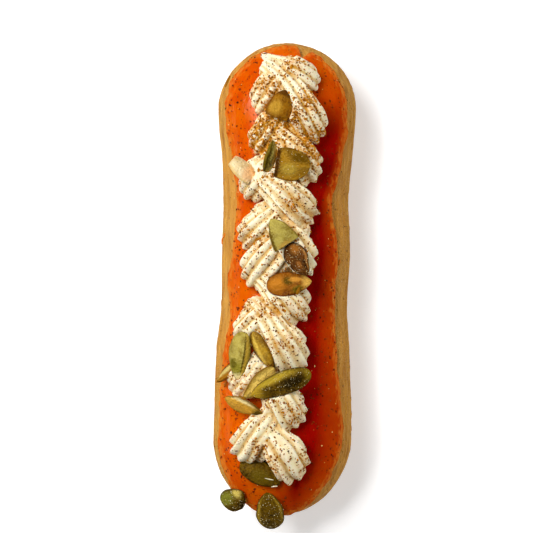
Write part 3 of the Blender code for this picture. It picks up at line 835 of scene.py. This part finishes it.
def make_seed(number, row):
    """One detailed seed where its solid lies."""
    node, length, width, thickness, stretch, middle, turn, pitch, roll, finish = row
    points, place = seed_mesh(node, length, width, thickness, stretch)
    seed_relief(points, place, number, finish)
    seed = new_object(node + "_detail", points, closed_tube_faces(SEED_STATIONS, SEED_POINTS_AROUND))
    marks = SEED_MARKS.get(node, [])
    for i, (_, along, across, *reach) in enumerate(marks):
        store(seed, f"mark {i}", bell(place[:, 0], along, reach[0]) * bell(place[:, 1], across, reach[1]))
    store(seed, "across", place[:, 1])
    seed_middle = Matrix.Translation((-length / 2 * sum(stretch) / 2, 0, 0))
    seed.data.transform(Matrix.Translation((*middle, 0)) @ seed_turn(turn, pitch, roll) @ seed_middle)
    low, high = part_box(node)
    heights = mesh_points(seed)[:, 2]
    seed.data.transform(Matrix.Translation((0, 0, (low[2] + high[2] - heights.min() - heights.max()) / 2)))
    dress(seed, node, finish, seed_material(node, finish, [mark[0] for mark in marks]))
    return seed


def tree_with_box(thing):
    """A tree that rays can be cast on, with the low and high corners of the piece's box."""
    points = mesh_points(thing)
    tree = BVHTree.FromPolygons(points.tolist(), [tuple(p.vertices) for p in thing.data.polygons])
    return tree, points.min(axis=0), points.max(axis=0)


def set_inputs(tree, node, inputs):
    """Sets a node's inputs. Each is a value or another node's output."""
    for key, value in inputs.items():
        if isinstance(value, bpy.types.NodeSocket):
            tree.links.new(value, node.inputs[key])
        else:
            node.inputs[key].default_value = value


def add_node(tree, kind, inputs=None, **settings):
    """A shader node with its settings and inputs."""
    node = tree.nodes.new("ShaderNode" + kind)
    for name, value in settings.items():
        setattr(node, name, value)
    set_inputs(tree, node, inputs or {})
    return node


def new_material(name):
    """A material with its tree, its shader and the place on the object in metres."""
    made = bpy.data.materials.new(name)
    made.use_nodes = True
    tree = made.node_tree
    place = add_node(tree, "TexCoord").outputs["Object"]
    return made, tree, tree.nodes["Principled BSDF"], place


def stored(tree, name):
    """The numbers kept on the mesh under a name."""
    return add_node(tree, "Attribute", attribute_name=name).outputs["Fac"]


def maths(tree, operation, first, second=0.0, clamp=False):
    """The result of an operation on one or two values or outputs."""
    return add_node(tree, "Math", {0: first, 1: second}, operation=operation, use_clamp=clamp).outputs[0]


def ranged(tree, value, start, end):
    """0 to 1 as a value goes from start to end."""
    return add_node(tree, "MapRange", {"Value": value, "From Min": start, "From Max": end}).outputs[0]


def new_group(name, *labels):
    """An empty shader group with a place and named values as its inputs, and a mask as its output."""
    group = bpy.data.node_groups.new(name, "ShaderNodeTree")
    group.interface.new_socket(name="Place", in_out="INPUT", socket_type="NodeSocketVector")
    for label in labels:
        group.interface.new_socket(name=label, in_out="INPUT", socket_type="NodeSocketFloat")
    group.interface.new_socket(name="Mask", in_out="OUTPUT", socket_type="NodeSocketFloat")
    entry, leave = group.nodes.new("NodeGroupInput"), group.nodes.new("NodeGroupOutput")
    return group, entry.outputs, leave.inputs["Mask"]


def mottle_group():
    """Soft patches: noise of a size in millimetres, spread to the full range."""
    group, inside, mask = new_group("mottle", "Size mm", "Stretch", "Detail", "Low", "High")
    squeeze = add_node(group, "CombineXYZ", {"X": 1.0, "Y": inside["Stretch"], "Z": 1.0}).outputs[0]
    place = add_node(group, "VectorMath", {0: inside["Place"], 1: squeeze}, operation="MULTIPLY").outputs[0]
    scale = maths(group, "DIVIDE", 1 / MM, inside["Size mm"])
    spots = add_node(group, "TexNoise", {"Vector": place, "Scale": scale, "Detail": inside["Detail"]})
    group.links.new(ranged(group, spots.outputs["Fac"], inside["Low"], inside["High"]), mask)
    return group


def speck_group():
    """Round specks: a share of the cells of a random pattern get a speck of their own size."""
    group, inside, mask = new_group("specks", "Spacing mm", "Radius", "Share")
    scale = maths(group, "DIVIDE", 1 / MM, inside["Spacing mm"])
    cells = add_node(group, "TexVoronoi", {"Vector": inside["Place"], "Scale": scale}).outputs
    random = add_node(group, "SeparateColor", {0: cells["Color"]}).outputs
    kept = maths(group, "LESS_THAN", random[0], inside["Share"])
    radius = maths(group, "MULTIPLY", inside["Radius"], random[1])
    speck = maths(group, "MULTIPLY", ranged(group, cells["Distance"], radius, 0.0), 3.0, clamp=True)
    group.links.new(maths(group, "MULTIPLY", speck, kept), mask)
    return group


MOTTLE = mottle_group()
SPECKS = speck_group()


def mottle(tree, place, size, stretch=1.0, detail=3.0, low=0.35, high=0.65):
    """Soft patches of a size in millimetres. A stretch below 1 draws them out along the eclair."""
    inputs = {"Place": place, "Size mm": size, "Stretch": stretch, "Detail": detail, "Low": low, "High": high}
    return add_node(tree, "Group", inputs, node_tree=MOTTLE).outputs[0]


def specks(tree, place, spacing, radius, share):
    """Specks by their spacing in millimetres, their greatest radius and the share of places with one."""
    inputs = {"Place": place, "Spacing mm": spacing, "Radius": radius, "Share": share}
    return add_node(tree, "Group", inputs, node_tree=SPECKS).outputs[0]


def mixed(tree, share, first, second):
    """Two colours mixed by a share that is a number or an output."""
    colours = [c if isinstance(c, bpy.types.NodeSocket) else (*c, 1) for c in (first, second)]
    inputs = {"Factor": share, 6: colours[0], 7: colours[1]}
    return add_node(tree, "Mix", inputs, data_type="RGBA").outputs[2]


def layered(tree, colour, *layers):
    """A colour with others laid over it. Each layer is its mask, its strength and its colour."""
    for mask, strength, over in layers:
        colour = mixed(tree, maths(tree, "MULTIPLY", mask, strength), colour, over)
    return colour


def bumped(tree, shader, height, distance):
    bump = add_node(tree, "Bump", {"Height": height, "Distance": distance})
    tree.links.new(bump.outputs[0], shader.inputs["Normal"])


def summed(tree, *weighted):
    """The sum of outputs, each times its weight."""
    total = None
    for output, weight in weighted:
        part = add_node(tree, "Math", {0: output, 1: weight, 2: total or 0.0}, operation="MULTIPLY_ADD")
        total = part.outputs[0]
    return total


def choux_material():
    """Baked choux: golden with brown streaks along it, browner near the glaze and at its foot, and pitted."""
    made, tree, shader, place = new_material("baked_choux")
    streaks = mottle(tree, place, 1.4, stretch=0.18, low=0.34, high=0.66)
    patches = mottle(tree, place, 5.0, stretch=0.5)
    fine = mottle(tree, place, 0.5, detail=2.0, low=0.3, high=0.7)
    pores = specks(tree, place, 1.2, 0.34, 0.30)
    height = add_node(tree, "SeparateXYZ", {0: place}).outputs["Z"]
    near_glaze = ranged(tree, height, 0.0165, 0.0225)
    near_base = ranged(tree, height, 0.0070, 0.0010)
    colour = mixed(tree, streaks, (0.37, 0.140, 0.012), (0.66, 0.345, 0.060))
    colour = layered(tree, colour,
                     (patches, 0.6, (0.57, 0.250, 0.016)),
                     (near_glaze, 0.45, (0.54, 0.220, 0.024)),
                     (near_base, 0.7, (0.30, 0.115, 0.020)),
                     (pores, 0.55, (0.20, 0.065, 0.010)))
    set_inputs(tree, shader, {"Base Color": colour, "Roughness": 0.55, "Specular IOR Level": 0.25})
    bumped(tree, shader, summed(tree, (streaks, 0.6), (fine, 0.6), (pores, -0.9)), 0.30 * MM)
    return made


def glaze_material():
    """Orange gel glaze: glossy and slightly see-through, thin at its rim, and redder and darker right of the
    cream, partly where it pools thicker and partly painted shade.
    """
    made, tree, shader, place = new_material("orange_glaze")
    patches = mottle(tree, place, 9.0, detail=2.0)
    fine = mottle(tree, place, 1.0, stretch=0.5, detail=4.0)
    spots = specks(tree, place, 1.5, 0.24, 0.35)
    film = ranged(tree, summed(tree, (stored(tree, "inside"), 1.0), (fine, 1.6)), 1.9, 0.5)
    thin = mixed(tree, patches, (0.56, 0.070, 0.0002), (0.64, 0.110, 0.0002))
    # Painted shade: the dark red right of the cream stands for its shadow and the crown turning from the
    # light, over glaze that pools thicker there.
    thick_and_shaded = mixed(tree, patches, (0.22, 0.0003, 0.0002), (0.33, 0.002, 0.0002))
    colour = layered(tree, mixed(tree, stored(tree, "deep_and_shaded"), thin, thick_and_shaded),
                     (fine, 0.20, (0.36, 0.010, 0.0002)),
                     (film, 0.75, (0.60, 0.19, 0.020)),
                     (spots, 0.7, (0.10, 0.008, 0.001)))
    set_inputs(tree, shader, {"Base Color": colour, "Roughness": 0.14, "Specular IOR Level": 0.12,
                              "Specular Tint": (1.0, 0.80, 0.70, 1), "Subsurface Weight": 0.4,
                              "Subsurface Radius": (1.0, 0.08, 0.02), "Subsurface Scale": 1.2 * MM})
    bumped(tree, shader, summed(tree, (fine, 1.0), (film, -0.6)), 0.04 * MM)
    return made


def cream_material():
    """Whipped cream with cinnamon powder, with painted shade in the hollows: darker cream down the flanks of
    the grooves and brown in them, partly cinnamon lying thicker there and partly painted shade.
    """
    made, tree, shader, place = new_material("whipped_cream")
    hollow, dust = stored(tree, "hollow"), stored(tree, "dust")
    fine = mottle(tree, place, 0.45, low=0.30, high=0.70)
    clumps = mottle(tree, place, 1.1, detail=4.0, low=0.42, high=0.58)
    grains = specks(tree, place, 0.7, 0.42, 0.45)
    # Painted shade: the cream darkens down the flanks of its grooves and turns brown in them, partly cinnamon
    # and partly painted shade, while the ridges stay light.
    flank, groove = ranged(tree, hollow, 0.40, 0.56), ranged(tree, hollow, 0.50, 0.66)
    dust_and_shade = add_node(tree, "MapRange", {"Value": dust, "From Max": 0.8, "To Min": 0.55}).outputs[0]
    powder = maths(tree, "MULTIPLY", clumps, dust, clamp=True)
    colour = layered(tree, mixed(tree, flank, (0.89, 0.81, 0.57), (0.82, 0.67, 0.36)),
                     (groove, dust_and_shade, (0.54, 0.27, 0.030)),
                     (powder, 1.0, (0.62, 0.265, 0.012)),
                     (grains, 0.8, (0.38, 0.120, 0.008)))
    set_inputs(tree, shader, {"Base Color": colour, "Roughness": 0.42, "Specular IOR Level": 0.22,
                              "Subsurface Weight": 0.15, "Subsurface Radius": (1.0, 0.5, 0.15),
                              "Subsurface Scale": 0.8 * MM})
    bumped(tree, shader, summed(tree, (fine, 0.5), (powder, 0.5)), 0.06 * MM)
    return made


def seed_material(node, finish, mark_colours):
    """A pumpkin seed's thin skin: blotched, darker at its rim, spotted, and marked in places."""
    skin, shade, spot = SEED_COLOURS[finish]
    made, tree, shader, place = new_material(node + "_skin")
    rim = ranged(tree, maths(tree, "ABSOLUTE", stored(tree, "across")), 0.84, 0.97)
    patches = mottle(tree, place, 3.0, low=0.42, high=0.66)
    fine = mottle(tree, place, 0.6, high=0.7)
    spots = specks(tree, place, 0.8, 0.32, 0.3)
    grit = specks(tree, place, 0.5, 0.36, 0.28)
    colour = layered(tree, mixed(tree, patches, skin, shade), (fine, 0.4, spot))
    for i, mark_colour in enumerate(mark_colours):
        ragged = summed(tree, (stored(tree, f"mark {i}"), 1.5), (fine, -0.35))
        colour = mixed(tree, ranged(tree, ragged, 0.1, 0.9), colour, mark_colour)
    colour = layered(tree, colour, (rim, 0.8, shade), (spots, 0.7, shade), (grit, 0.6, spot))
    set_inputs(tree, shader, {"Base Color": colour, "Roughness": 0.28, "Specular IOR Level": 0.12,
                              "Specular Tint": (1.0, 0.85, 0.45, 1)})
    bumped(tree, shader, summed(tree, (fine, 0.7), (patches, 0.6), (spots, 0.3)), 0.28 * MM)
    return made


def grain_material(name, dark, light, roughness):
    """Grains that differ in shade from one to the next."""
    made, tree, shader, _ = new_material(name)
    colour = mixed(tree, stored(tree, "shade"), dark, light)
    set_inputs(tree, shader, {"Base Color": colour, "Roughness": roughness, "Specular IOR Level": 0.05})
    return made


def topmost(surfaces, x, y):
    """The label, place and normal of the highest surface over a point of the plan."""
    best = None
    for label, (tree, _, _) in surfaces.items():
        hit, normal, _, _ = tree.ray_cast(Vector((x, y, ABOVE_ALL)), Vector((0, 0, -1)))
        if hit is not None and (best is None or hit.z > best[1].z):
            best = (label, hit, normal)
    return best


def sprinkle(name, surfaces, on, count, sizes, flatness, density, seed):
    """Small chips, of sizes in millimetres, on the pieces named in on where density allows them."""
    random = np.random.default_rng(seed)
    tries = TRIES_PER_CHIP * count
    place = np.zeros((tries, 3))
    place[:, 0] = random.uniform(CAD_BOX[0][0], CAD_BOX[1][0], tries)
    place[:, 1] = random.uniform(CAD_BOX[0][1], CAD_BOX[1][1], tries)
    place = place[random.random(tries) < density(place)]
    points, faces, shades = [], [], []
    for x, y, _ in place:
        size = MM * (sizes[0] + (sizes[1] - sizes[0]) * random.random() ** 2)
        jitter = random.uniform(*CHIP_JITTER, (len(CHIP_POINTS), 1))
        turn = random.uniform(0, 2 * math.pi)
        tilt, shade = random.uniform(-CHIP_TILT, CHIP_TILT), random.random()
        best = topmost(surfaces, x, y)
        if best is None or best[0] not in on:
            continue
        _, hit, normal = best
        pose = normal.to_track_quat("Z", "Y").to_matrix() @ Matrix.Rotation(turn, 3, "Z")
        pose = np.array(pose @ Matrix.Rotation(tilt, 3, "X"))
        chip = np.array(CHIP_POINTS) * jitter * size * (1.0, CHIP_WIDTH, flatness)
        first = len(CHIP_POINTS) * len(points)
        points.append(chip @ pose.T + np.array(hit) + CHIP_LIFT * size * flatness * np.array(normal))
        faces += [tuple(first + i for i in face) for face in CHIP_FACES]
        shades += [shade] * len(CHIP_POINTS)
        if len(points) == count:
            break
    thing = new_object(name, np.concatenate(points), faces, smooth=False)
    store(thing, "shade", shades)
    return thing


def clustered(place, least, seed):
    """A chance that gathers the grains in patches."""
    return least + (1 - least) * np.clip(0.35 + 1.6 * noise(place, CINNAMON_PATCH, seed), 0, 1)


def cinnamon(place):
    """Cinnamon lies in patches, thickest near the head."""
    return clustered(place, 0.25, 31) * (0.4 + 0.6 * bell(place[:, 1], CINNAMON_PLACE, 0.012))


def salted(place):
    """Most salt lies right of the middle and on the two seeds at the foot, and little near the head."""
    right = place[:, 0] > -3 * MM
    foot = place[:, 1] < -55 * MM
    head = place[:, 1] > 20 * MM
    return np.where(head, 0.35, np.where(right | foot, 1.0, 0.3))


def level_turn(normal):
    """The turn about a normal that brings a piece's length back towards +X in plan."""
    sideways = normal.to_track_quat("Z", "Y").to_matrix() @ Vector((1, 0, 0))
    return np.array(Matrix.Rotation(-math.atan2(sideways.y, sideways.x), 3, "Z"))


def lumpy_ball(number):
    """Points of an uneven ball of about radius 1, ring by ring along X, then its two poles."""
    turns = circle(DROP_POINTS_AROUND)
    rings = []
    for i in range(DROP_RINGS):
        slope = math.pi * (i + 0.5) / DROP_RINGS
        around = math.sin(slope) * np.stack([np.cos(turns), np.sin(turns)])
        rings.append(np.stack([np.full(len(turns), -math.cos(slope)), *around], axis=1))
    ball = np.concatenate([*rings, [[-1, 0, 0], [1, 0, 0]]])
    return ball * (1 + DROP_UNEVENNESS * noise(ball + 5.1 * number, 0.9, 3))[:, None]


def blobs(name, surfaces, rows):
    """Flattened drops lying on whatever is highest: place in plan, length, width, thickness, turn."""
    points, faces = [], []
    for number, (x, y, length, width, thickness, turn) in enumerate(rows):
        _, hit, normal = topmost(surfaces, x, y)
        ball = lumpy_ball(number) * (length / 2, width / 2, thickness / 2)
        spin = np.array(Matrix.Rotation(math.radians(turn), 3, "Z"))
        pose = np.array(normal.to_track_quat("Z", "Y").to_matrix()) @ level_turn(normal) @ spin
        faces += closed_tube_faces(DROP_RINGS, DROP_POINTS_AROUND, sum(map(len, points)))
        points.append(ball @ pose.T + np.array(hit))
    return new_object(name, np.concatenate(points), faces)


def add_light(name, azimuth, elevation, distance, width, height, power, reflected):
    """A rectangular light that faces the eclair."""
    a, e = math.radians(azimuth), math.radians(elevation)
    place = distance * Vector((math.cos(a) * math.cos(e), math.sin(a) * math.cos(e), math.sin(e)))
    light = bpy.data.lights.new(name, "AREA")
    light.shape = "RECTANGLE"
    light.size = width
    light.size_y = height
    light.energy = power
    lamp = bpy.data.objects.new(name, light)
    lamp.location = place
    lamp.rotation_euler = (Vector(LIGHT_TARGET) - place).to_track_quat("-Z", "Y").to_euler()
    lamp.visible_glossy = reflected
    bpy.context.scene.collection.objects.link(lamp)


def make_camera():
    """The photograph's view: straight down on the middle of its frame."""
    lens = bpy.data.cameras.new("camera")
    lens.sensor_width = SENSOR
    lens.lens = SENSOR * CAMERA_DISTANCE / (PHOTO_PIXELS * METRES_PER_PIXEL)
    camera = bpy.data.objects.new("camera", lens)
    x = (PHOTO_PIXELS / 2 - ECLAIR_IN_PHOTO[0]) * METRES_PER_PIXEL
    y = (ECLAIR_IN_PHOTO[1] - PHOTO_PIXELS / 2) * METRES_PER_PIXEL
    camera.location = (x, y, FOCUS_HEIGHT + CAMERA_DISTANCE)
    bpy.context.scene.collection.objects.link(camera)
    bpy.context.scene.camera = camera


def make_stage():
    """A plain pale floor and soft studio light from the upper left."""
    corners = [(FLOOR_REACH * x, FLOOR_REACH * y, 0) for x, y in ((-1, -1), (1, -1), (1, 1), (-1, 1))]
    floor = new_object("floor", corners, [(0, 1, 2, 3)], smooth=False)
    made, tree, shader, place = new_material("floor")
    colour = mixed(tree, mottle(tree, place, 300.0), (0.76, 0.76, 0.76), (0.77, 0.77, 0.77))
    set_inputs(tree, shader, {"Base Color": colour, "Roughness": 0.9, "Emission Color": (1, 1, 1, 1),
                              "Emission Strength": 0.42})
    floor.data.materials.append(made)
    floor.visible_glossy = False
    for light in LIGHTS:
        add_light(*light)
    world = bpy.data.worlds.new("studio")
    bpy.context.scene.world = world
    world.use_nodes = True
    backdrop = {"Color": (1, 1, 1, 1), "Strength": 0.12}
    set_inputs(world.node_tree, world.node_tree.nodes["Background"], backdrop)
    world.cycles_visibility.glossy = False
    bpy.context.scene.view_settings.view_transform = "Standard"


def dress(thing, node, slot, material):
    """Puts a piece in place of its solid, with its material. The slot is not used."""
    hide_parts(node)
    thing.data.materials.clear()
    thing.data.materials.append(material)


def scattered(surfaces):
    """The spice, grains, drips, smears and bits, each with its material and slot."""
    dark = grain_material("spice_dark", (0.030, 0.009, 0.001), (0.16, 0.042, 0.002), 0.6)
    red = grain_material("spice_red", (0.040, 0.004, 0.001), (0.30, 0.034, 0.002), 0.5)
    brown = grain_material("spice_brown", (0.17, 0.042, 0.001), (0.56, 0.21, 0.006), 0.7)
    tan = grain_material("golden_grains", (0.55, 0.30, 0.06), (0.80, 0.55, 0.22), 0.5)
    pale = grain_material("pale_grains", (0.62, 0.46, 0.16), (0.92, 0.84, 0.56), 0.4)
    salty = {"seed_long", "seed_foot", "seed_foot_left", "seed_roasted", "seed_wide"}
    # Name, the pieces it lies on, how many, sizes in millimetres, flatness, chance and random seed.
    grains = (
        ("glaze_spice", {"icing"}, 1000, (0.10, 0.53), 0.35,
         lambda place: np.where(place[:, 0] < 0, 0.95, 0.55), 41, red, "glaze"),
        ("cream_spice", {"cream"}, 620, (0.15, 0.46), 0.6,
         lambda place: clustered(place, 0.5, 51), 42, dark, "cream"),
        ("cream_cinnamon", {"cream"}, 3300, (0.12, 0.60), 0.5, cinnamon, 43, brown, "cream"),
        ("golden_grains", {"icing", "choux"}, 60, (0.14, 0.34), 0.6, lambda place: 0.9, 44, tan, "cream"),
        ("pale_grains", salty, 760, (0.08, 0.21), 0.7, salted, 46, pale, "cream"),
        ("choux_spice", {"choux"}, 80, (0.10, 0.34), 0.4, lambda place: 0.8, 48, dark, "glaze"),
    )
    drops = (
        ("glaze_drips", GLAZE_DRIPS, "orange_glaze", "glaze"),
        ("cream_smears", CREAM_SMEARS, "whipped_cream", "cream"),
        ("seed_bits", SEED_BITS, "seed_sliver_skin", "brown_olive"),
    )
    for name, *how, material, slot in grains:
        yield sprinkle(name, surfaces, *how), material, slot
    for name, rows, material, slot in drops:
        yield blobs(name, surfaces, rows), bpy.data.materials[material], slot


def main():
    seeds = {row[0]: make_seed(number, row) for number, row in enumerate(SEEDS)}
    trees = {name: tree_with_box(seed) for name, seed in seeds.items()}
    choux, icing = make_choux(), make_glaze()
    cream = make_cream([trees[name] for name in trees if name not in LOOSE_SEEDS])
    dress(choux, "choux_shell", "choux", choux_material())
    dress(icing, "glaze", "glaze", glaze_material())
    dress(cream, "piped_cream", "cream", cream_material())
    surfaces = {"choux": tree_with_box(choux), "icing": tree_with_box(icing), "cream": tree_with_box(cream)}
    surfaces.update(trees)
    for thing, material, slot in scattered(surfaces):
        thing.data.materials.append(material)
        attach(thing, "root")
    for thing in (choux, icing, cream, *seeds.values()):
        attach(thing, "root")
    make_camera()
    make_stage()


main()
